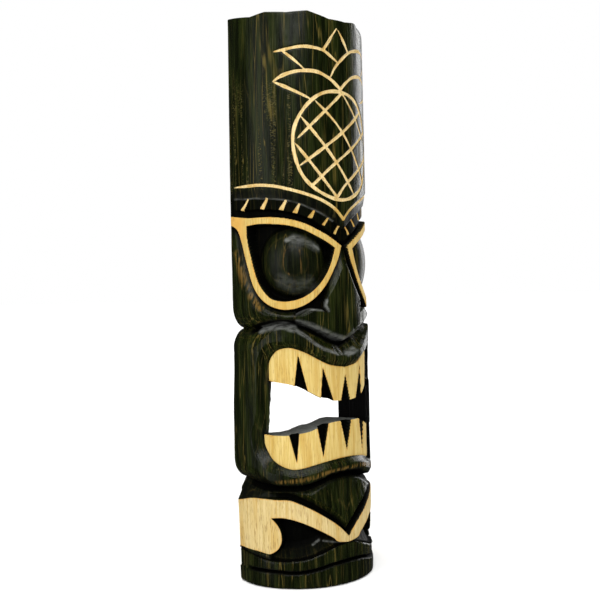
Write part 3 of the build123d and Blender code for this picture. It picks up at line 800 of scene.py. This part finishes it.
def carve(obj, cutters):
    """obj with the cutters taken out of it; each cut face keeps its cutter's material."""
    for cutter in cutters:
        cut = obj.modifiers.new(cutter.name, "BOOLEAN")
        cut.object, cut.operation, cut.solver = cutter, "DIFFERENCE", "MANIFOLD"
        cut.material_mode = "TRANSFER"
    graph = bpy.context.evaluated_depsgraph_get()
    mesh = bpy.data.meshes.new_from_object(obj.evaluated_get(graph))
    obj.modifiers.clear()
    obj.data = mesh
    for cutter in cutters:
        bpy.data.objects.remove(cutter)
    return obj


def paint(obj):
    """Stores on every point how far inside bare wood it lies, its painted shade, how worn it is and its
    painted highlight.
    """
    mesh = obj.data
    points = np.empty(len(mesh.vertices) * 3)
    mesh.vertices.foreach_get("co", points)
    x, y, z = points.reshape(-1, 3).T / MM
    s = RADIUS * np.arctan2(x, AXIS_Y - y)
    for name, values in (("bare", bare_wood(s, z)), ("shade", painted_recess_shade(s, z)),
                         ("worn", worn_stain(s, z)), ("painted_light", painted_highlights(s, z))):
        layer = mesh.attributes.new(name, "FLOAT", "POINT")
        layer.data.foreach_set("value", values.astype(np.float32))


DEEP_SHADE, DEEP_STAIN = 0.72, -0.15  # the least shade and the most bareness of a deep crevice


def dull_crevices(obj, front, crevice):
    """Gives the faces that lie deep in the crevices their own duller material."""
    mesh = obj.data
    mesh.materials.append(crevice)
    values = {}
    for name in ("bare", "shade"):
        values[name] = np.empty(len(mesh.vertices))
        mesh.attributes[name].data.foreach_get("value", values[name])
    deep = (values["shade"] > DEEP_SHADE) & (values["bare"] < DEEP_STAIN)
    on_front = [m.name for m in mesh.materials].index(front.name)
    for face in mesh.polygons:
        if face.material_index == on_front and all(deep[v] for v in face.vertices):
            face.material_index = len(mesh.materials) - 1


# ---- Materials ----
class Value:
    """An output socket of a node tree that takes part in sums like a number."""

    def __init__(self, nodes, socket):
        self.nodes, self.socket = nodes, socket

    def __add__(self, other):
        return self.nodes.math("ADD", self, other)

    def __sub__(self, other):
        return self.nodes.math("SUBTRACT", self, other)

    def __rsub__(self, other):
        return self.nodes.math("SUBTRACT", other, self)

    def __mul__(self, other):
        return self.nodes.math("MULTIPLY", self, other)

    def __abs__(self):
        return self.nodes.math("ABSOLUTE", self)


class Nodes:
    """A node tree, with short calls for the nodes used here."""

    def __init__(self, tree):
        self.tree = tree

    def join(self, value, socket):
        """Links a socket's value, or sets a constant on the socket itself."""
        if isinstance(value, Value):
            self.tree.links.new(value.socket, socket)
        else:
            socket.default_value = value

    def node(self, kind, inputs, output=0, **settings):
        """One output of a new node, whose inputs are given by name or number."""
        node = self.tree.nodes.new("ShaderNode" + kind)
        for name, value in settings.items():
            setattr(node, name, value)
        for key, value in inputs.items():
            self.join(value, node.inputs[key])
        return Value(self, node.outputs[output])

    def math(self, operation, *values):
        return self.node("Math", dict(enumerate(values)), operation=operation)


class Shader(Nodes):
    """A material with its node tree."""

    def __init__(self, name):
        self.material = bpy.data.materials.new(name)
        self.material.use_nodes = True
        super().__init__(self.material.node_tree)
        self.tree.nodes.clear()
        self.bsdf = self.tree.nodes.new("ShaderNodeBsdfPrincipled")
        output = self.tree.nodes.new("ShaderNodeOutputMaterial")
        self.tree.links.new(self.bsdf.outputs["BSDF"], output.inputs["Surface"])

    def point(self):
        """The piece's own X, Y and Z in millimetres."""
        split = self.tree.nodes.new("ShaderNodeSeparateXYZ")
        self.join(self.node("TexCoord", {}, "Object"), split.inputs[0])
        return [Value(self, axis) * (1 / MM) for axis in split.outputs]

    def grain(self, where, sizes, detail=2.0):
        """Noise around 0.5 whose lumps have the sizes given, in millimetres along each axis."""
        place = self.node("CombineXYZ", dict(enumerate(where)))
        scaled = self.node("VectorMath", {0: place, 1: sizes}, operation="DIVIDE")
        return self.node("TexNoise", {"Vector": scaled, "Scale": 1.0, "Detail": detail}, "Fac")

    def step(self, value, low, high, to_low=0.0, to_high=1.0):
        """to_low up to low, to_high from high on, and a smooth change between them."""
        inputs = dict(enumerate((value, low, high, to_low, to_high)))
        return self.node("MapRange", inputs, interpolation_type="SMOOTHSTEP")

    def blend(self, factor, first, second):
        """A mix of two colours."""
        first, second = (c if isinstance(c, Value) else (*c, 1.0) for c in (first, second))
        return self.node("Mix", {0: factor, 6: first, 7: second}, 2, data_type="RGBA")

    def attribute(self, name):
        return self.node("Attribute", {}, "Fac", attribute_name=name)

    def bump(self, *layers):
        """Bump from (height, distance in millimetres) layers, one on the other."""
        normal = {}
        for height, distance in layers:
            inputs = {"Strength": 1.0, "Distance": distance * MM, "Height": height}
            normal = {"Normal": self.node("Bump", inputs | normal)}
        self.join(normal["Normal"], self.bsdf.inputs["Normal"])

    def finish(self, **sockets):
        for name, value in sockets.items():
            self.join(value, self.bsdf.inputs[name.replace("_", " ")])
        return self.material


def unrolled(shader):
    """Arc length round the log, distance from its axis, and height, in millimetres."""
    x, y, z = shader.point()
    ahead = AXIS_Y - y
    return shader.math("ARCTAN2", x, ahead) * RADIUS, shader.math("SQRT", x * x + ahead * ahead), z


# Stain, from its darkest to where it has worn thin, and what shows through it; then the black of the
# painted shade and the grey of the painted highlights
STAIN_DARK = (0.0022, 0.0035, 0.0004)
STAIN = (0.0080, 0.0118, 0.0018)
STAIN_OLIVE = (0.030, 0.032, 0.006)
STAIN_WORN = (0.105, 0.060, 0.012)
STAIN_RING = (0.075, 0.055, 0.012)
VEIN = (0.088, 0.066, 0.014)
TICK = (0.080, 0.066, 0.018)
BLACK = (0.0006, 0.0006, 0.0005)
PAINTED_SHEEN = (0.155, 0.160, 0.148)
# Bare wood on the front, as (dark, pale) streaks: teeth, eye rims, brow and pineapple, band
TEETH_WOOD = (0.48, 0.335, 0.090), (0.60, 0.46, 0.175)
RIM_WOOD = (0.43, 0.29, 0.074), (0.53, 0.395, 0.135)
LINE_WOOD = (0.60, 0.46, 0.200), (0.74, 0.60, 0.330)
BAND_WOOD = (0.465, 0.345, 0.135), (0.565, 0.445, 0.215)
BARE_DEEP = (0.44, 0.27, 0.055)
BARE_ORANGE = (0.54, 0.26, 0.045)
PORE = (0.26, 0.15, 0.045)
# Unstained wood of the back
RAW = (0.50, 0.34, 0.17)
RAW_PALE = (0.66, 0.50, 0.29)
RAW_DARK = (0.27, 0.16, 0.075)


def vein(shader, where, sizes, wide):
    """Thin wandering lines along the grain, where smooth noise crosses its middle value."""
    return shader.step(abs(shader.grain(where, sizes, 1) - 0.5), wide, 0.25 * wide)


def stained_colour(shader, s, r, z):
    """The dark stain with its golden veins, the log's rings and the drawknife's chatter ticks."""
    grain, step, blend, here = shader.grain, shader.step, shader.blend, (s, r, z)
    fine, base, patch = (grain(here, *noise) for noise in (
        ((0.9, 2.0, 30), 3), ((4.0, 8.0, 48), 3), ((16, 22, 60), 2)))
    colour = blend(step(base, 0.36, 0.68), STAIN_DARK, STAIN)
    olive = step(base, 0.44, 0.70) * step(fine, 0.45, 0.70)
    colour = blend(olive * 0.7, colour, STAIN_OLIVE)
    veins = shader.math("MAXIMUM", vein(shader, here, (11, 30, 260), 0.015),
                        vein(shader, (s, r + 50.0, z), (8, 30, 190), 0.011))
    faded = step(patch, 0.44, 0.60, 0.15, 0.8) * step(fine, 0.36, 0.56)
    colour = blend(veins * faded, colour, VEIN)
    worn = shader.attribute("worn") * step(grain(here, (1.7, 4, 16), 3), 0.42, 0.60)
    colour = blend(worn, colour, STAIN_WORN)
    rings = step(shader.math("SINE", r * 2.1 + patch * 5.0), 0.75, 1.0)
    laid_open = step(r, RADIUS - 1.6, RADIUS - 3.2)
    colour = blend(rings * laid_open * step(fine, 0.40, 0.6, 0.0, 0.32), colour, STAIN_RING)
    column = step(grain(here, (4.5, 50, 120), 1), 0.46, 0.58)
    tick = step(grain(here, (2.2, 30, 0.75), 1), 0.54, 0.64)
    left_temple = step(s, -42, -49) * step(z, 346, 356) * step(z, 462, 425)
    ticks = column * tick * left_temple
    return blend(ticks * 0.7, colour, TICK), fine, ticks


def bare_colour(shader, s, r, z, bare):
    """Pale straw wood with brown pores, tinted orange along the edges that the stain touched."""
    grain, step, blend, here = shader.grain, shader.step, shader.blend, (s, r, z)
    fine = grain(here, (0.9, 1.6, 30), 3)
    streak, lines = step(fine, 0.37, 0.63), step(z, 332, 340)
    colour = blend(streak, *TEETH_WOOD)
    rims, band = step(z, 225, 232), step(z, 92, 84)
    for region, tones in ((rims, RIM_WOOD), (lines, LINE_WOOD), (band, BAND_WOOD)):
        colour = blend(region, colour, blend(streak, *tones))
    colour = blend(step(grain(here, (7, 12, 60), 2), 0.42, 0.72, 0, 0.65), colour, BARE_DEEP)
    pore = step(grain(here, (0.50, 0.9, 7.5), 1), 0.62, 0.70)
    colour = blend(pore * step(z, 80, 90, 0.85, 0.55), colour, PORE)
    patchy = step(grain(here, (4, 6, 9), 2), 0.35, 0.7, 0.10, 0.75)
    edge = step(bare, 1.5, 0.1) * (1.0 - lines * 0.6) * patchy
    corner = step(abs(s), 92, 104) * step(z, 300, 312) * step(z, 336, 330) * 0.55
    return blend(shader.math("MAXIMUM", edge, corner), colour, BARE_ORANGE), fine, pore


def carved_wood(name, gloss):
    """The front: stained outside and bare where the attribute says, with painted shade black in the
    crevices and painted highlights on edges.
    """
    shader = Shader(name)
    grain, step, blend = shader.grain, shader.step, shader.blend
    s, r, z = unrolled(shader)
    bare, shade = shader.attribute("bare"), shader.attribute("shade")
    stain, fine, ticks = stained_colour(shader, s, r, z)
    wood, wood_fine, pore = bare_colour(shader, s, r, z, bare)
    ragged = grain((s, r, z), (1.0, 1.0, 2.6), 2) * 0.4 - 0.2
    is_bare = step(bare + ragged, -0.10, 0.16)
    # painted shade: black laid over the stain in the crevices and hollows
    stain = blend(shade * 0.97, stain, BLACK)
    streaky = step(grain((s, r, z), (7, 4, 3.0), 3), 0.30, 0.62, 0.25, 0.9)
    # painted highlights: pale grey laid over the stain along edges and on the eyeballs
    stain = blend(shader.attribute("painted_light") * streaky, stain, PAINTED_SHEEN)
    rough_stain = step(fine, 0.3, 0.7, 0.20, 0.32) + shade * 0.32
    rough = rough_stain * (1.0 - is_bare) + is_bare * step(wood_fine, 0.3, 0.7, 0.62, 0.74)
    shader.bump((fine, 0.20), (ticks, 0.16), (pore * is_bare * -1.0, 0.12))
    colour = blend(is_bare, stain, wood)
    return shader.finish(Base_Color=colour, Roughness=rough, Specular_IOR_Level=gloss)


def raw_wood(name, stain_line, marks):
    """Unstained wood of the back and the hollow. The stain has run over its edges."""
    shader = Shader(name)
    here = x, y, z = shader.point()
    grain, step, blend = shader.grain, shader.step, shader.blend
    fine = grain(here, (1.1, 1.1, 34), 3)
    from_axis = unrolled(shader)[1]
    rings = shader.math("SINE", from_axis * 1.45 + grain(here, (14, 14, 120), 2) * 9.0)
    colour = blend(step(fine, 0.33, 0.68), RAW, RAW_PALE)
    colour = blend(step(rings, 0.2, 1.0, 0, 0.26), colour, RAW_DARK)
    pore = step(grain(here, (0.5, 0.5, 8), 1), 0.65, 0.72)
    colour = blend(pore * 0.6, colour, RAW_DARK)
    wander = grain(here, (9, 9, 24), 3) * 9.0 - 4.5
    stain = step(wander + stain_line(shader, x, z), -0.6, 0.8)
    colour = blend(stain * 0.93, colour, STAIN)
    shader.bump((fine, 0.25), (marks(shader, here), 0.30))
    rough = step(fine, 0.3, 0.7, 0.66, 0.82)
    return shader.finish(Base_Color=colour, Roughness=rough, Specular_IOR_Level=0.3)


def saw_marks(shader, here):
    """Slightly slanting lines from the saw that split the log."""
    x, _, z = here
    return shader.math("SINE", (x * 0.12 + z) * 2.1) * shader.grain(here, (22, 22, 2.4), 2)


def gouge_fibres(shader, here):
    return shader.grain(here, (0.7, 0.7, 15), 2)


STAINED_SIDE_X = 63.5  # how far out across the back the stain begins


def from_back_edges(shader, x, z):
    """Millimetres past the line that the stain reached from the log's outer edges."""
    ends = shader.math("MAXIMUM", z - (HEIGHT - 5), 4.0 - z)
    return shader.math("MAXIMUM", abs(x) - STAINED_SIDE_X, ends)


def from_mouth(shader, x, z):
    """The same, from the mouth's opening into the hollow."""
    return 33.0 - abs(z - HOLE_MIDDLE_Z)


def unstained(shader, x, z):
    """The same where no stain reached: far outside the line."""
    return -20.0


def end_grain():
    """The stained top and foot, where the rings show."""
    shader = Shader("end_grain")
    here, (s, r, z) = shader.point(), unrolled(shader)
    rings = shader.math("SINE", r * 2.2 + shader.grain(here, (22, 22, 90), 2) * 10.0)
    ray = shader.grain((s * shader.math("DIVIDE", 30.0, r), r, z), (1.0, 26, 30), 2)
    colour = shader.blend(shader.step(rings, -0.2, 0.9), STAIN, STAIN_DARK)
    colour = shader.blend(shader.step(ray, 0.55, 0.7, 0, 0.6), colour, STAIN_OLIVE)
    shader.bump((rings, 0.10), (shader.grain(here, (1.2, 1.2, 3), 2), 0.25))
    return shader.finish(Base_Color=colour, Roughness=shader.step(ray, 0.3, 0.7, 0.5, 0.66),
                         Specular_IOR_Level=0.35)


def stained_walls():
    """The stained sides of the mouth's opening, with a painted sheen on the ledge and black at the
    right end.
    """
    shader = Shader("mouth_walls")
    here = x, _, z = shader.point()
    grain, step, blend = shader.grain, shader.step, shader.blend
    fine, broad = grain(here, (1.6, 3.5, 26), 3), grain(here, (9, 14, 30), 2)
    colour = blend(step(fine, 0.35, 0.65), STAIN_DARK, STAIN)
    colour = blend(step(broad, 0.5, 0.75, 0, 0.8), colour, STAIN_OLIVE)
    # painted reflection: the upward-facing ledge is lightened grey
    ledge = step(z, HOLE_MIDDLE_Z, HOLE_MIDDLE_Z - 8) * step(fine, 0.3, 0.7, 0.45, 0.9)
    colour = blend(ledge, colour, PAINTED_SHEEN)
    colour = blend(step(x, 38, 43), colour, BLACK)
    shader.bump((fine, 0.25), (grain(here, (3, 1.2, 3), 2), 0.2))
    return shader.finish(Base_Color=colour, Roughness=step(broad, 0.3, 0.7, 0.36, 0.52),
                         Specular_IOR_Level=0.12)


ZINC, ZINC_PALE, ZINC_DULL = (0.50, 0.52, 0.55), (0.66, 0.67, 0.67), (0.36, 0.32, 0.25)


def zinc(name, brushed, tarnish):
    """Zinc plate over steel: spangled, faintly blue and yellow, duller in its scratches."""
    shader = Shader(name)
    here = shader.point()
    grain, step, blend = shader.grain, shader.step, shader.blend
    drawn, spots = grain(here, brushed, 3), grain(here, (3.2, 3.2, 3.2), 3)
    colour = blend(step(grain(here, (1.7, 1.7, 1.7), 2), 0.35, 0.65), ZINC, ZINC_PALE)
    colour = blend(step(spots, 0.60 - tarnish, 0.74 - tarnish, 0, 0.7), colour, ZINC_DULL)
    shader.bump((drawn, 0.03), (spots, 0.02))
    return shader.finish(Base_Color=colour, Metallic=1.0,
                         Roughness=step(drawn, 0.3, 0.7, 0.22, 0.38) + step(spots, 0.5, 0.75, 0, 0.15))


# ---- The mask ----
FRONT_GLOSS, CREVICE_GLOSS = 0.10, 0.02
front, crevice = carved_wood("carved_front", FRONT_GLOSS), carved_wood("crevices", CREVICE_GLOSS)
walls = stained_walls()
sawn_back = raw_wood("sawn_back", from_back_edges, saw_marks)
hollow = raw_wood("adzed_hollow", from_mouth, gouge_fibres)
recess = raw_wood("cut_recess", unstained, gouge_fibres)
verts, faces, slots = log_mesh(0, 1, 2)
mask = tidy_normals(put("tiki_mask", verts, faces, [front, sawn_back, end_grain()], slots))
carve(mask, [mouth_cutter(walls), hollow_cutter(hollow), recess_cutter(recess)])
paint(mask)
dull_crevices(mask, front, crevice)
mask.data.set_sharp_from_angle(angle=math.radians(50))
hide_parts("carved_body")
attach(mask, "mask")

for node, looks in (
    ("hanger_strap", zinc("strap_zinc", (0.5, 0.5, 14), 0.02)),
    ("hanger_ring", zinc("ring_zinc", (9, 0.6, 0.6), 0.04)),
    ("hanger_screws", zinc("screw_zinc", (0.7, 0.7, 0.7), 0.0)),
):
    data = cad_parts[node]
    for slot in data.material_slots:
        slot.material = looks
    if not data.material_slots:
        data.data.materials.append(looks)


# ---- Floor, light and camera ----
FLOOR_RADIUS = 60000.0


def floor():
    """A plain pale floor that is lit white towards the horizon."""
    shader = Shader("studio_white")
    x, y, _ = shader.point()
    away = shader.math("SQRT", x * x + y * y)
    white = shader.finish(Base_Color=(0.93, 0.93, 0.92, 1.0), Roughness=0.8, Specular_IOR_Level=0.1,
                          Emission_Color=(1.0, 1.0, 1.0, 1.0),
                          Emission_Strength=shader.step(away, 500.0, 2400.0, 0.0, 0.8))
    turns = np.linspace(0, 2 * math.pi, 65)[:-1]
    ring = np.stack([np.cos(turns), np.sin(turns), 0 * turns], 1) * FLOOR_RADIUS
    obj = put("studio_floor", ring, [tuple(range(len(ring)))], [white])
    obj.visible_glossy = False


LIT_POINT = (0, 0, 0.26)  # the mask's middle


def softbox(name, place, size, power):
    """A rectangular lamp that points at the mask."""
    data = bpy.data.lights.new(name, "AREA")
    data.shape, data.size, data.size_y, data.energy = "RECTANGLE", *size, power
    lamp = bpy.data.objects.new(name, data)
    lamp.location = place
    lamp.rotation_euler = (Vector(LIT_POINT) - Vector(place)).to_track_quat("-Z", "Y").to_euler()
    bpy.context.scene.collection.objects.link(lamp)


floor()
softbox("key", (-1.5, -1.9, 1.7), (1.5, 0.7), 45)
softbox("fill", (-2.4, 0.0, 0.35), (1.2, 1.6), 20)
softbox("side_strip", (1.9, 0.35, 0.6), (0.6, 1.8), 22)
softbox("top", (-0.3, -0.2, 2.4), (1.2, 1.2), 42)
WORLD_LIGHT = 0.42  # the white surroundings' light on the mask; the camera sees them pure white
WORLD_SHEEN = 0.07  # how bright they look in its polished stain
world = bpy.data.worlds.new("studio")
world.use_nodes = True
sky = Nodes(world.node_tree)
polished, seen = (sky.node("LightPath", {}, ray) for ray in ("Is Glossy Ray", "Is Camera Ray"))
sheen = sky.node("MapRange", {"Value": polished, "To Min": WORLD_LIGHT, "To Max": WORLD_SHEEN})
background = world.node_tree.nodes["Background"]
sky.join((1, 1, 1, 1), background.inputs["Color"])
sky.join(sky.node("MapRange", {"Value": seen, "To Min": sheen}), background.inputs["Strength"])
bpy.context.scene.world = world
bpy.context.scene.view_settings.view_transform = "Standard"

CAMERA_PLACE = (-0.558, -0.640, 0.259)
CAMERA_TURN, CAMERA_DIP, CAMERA_ROLL = np.radians((40.07, -0.31, -1.34)).tolist()
FOCAL_LENGTH, SENSOR_WIDTH = 55.0, 36.0
lens = bpy.data.cameras.new("camera")
lens.lens, lens.sensor_width = FOCAL_LENGTH, SENSOR_WIDTH
camera = bpy.data.objects.new("camera", lens)
ahead = Vector((math.sin(CAMERA_TURN), math.cos(CAMERA_TURN), math.sin(CAMERA_DIP)))
upright = ahead.to_track_quat("-Z", "Y").to_matrix()
turned = upright @ Matrix.Rotation(CAMERA_ROLL, 3, "Z")
camera.matrix_world = Matrix.Translation(CAMERA_PLACE) @ turned.to_4x4()
bpy.context.scene.collection.objects.link(camera)
bpy.context.scene.camera = camera
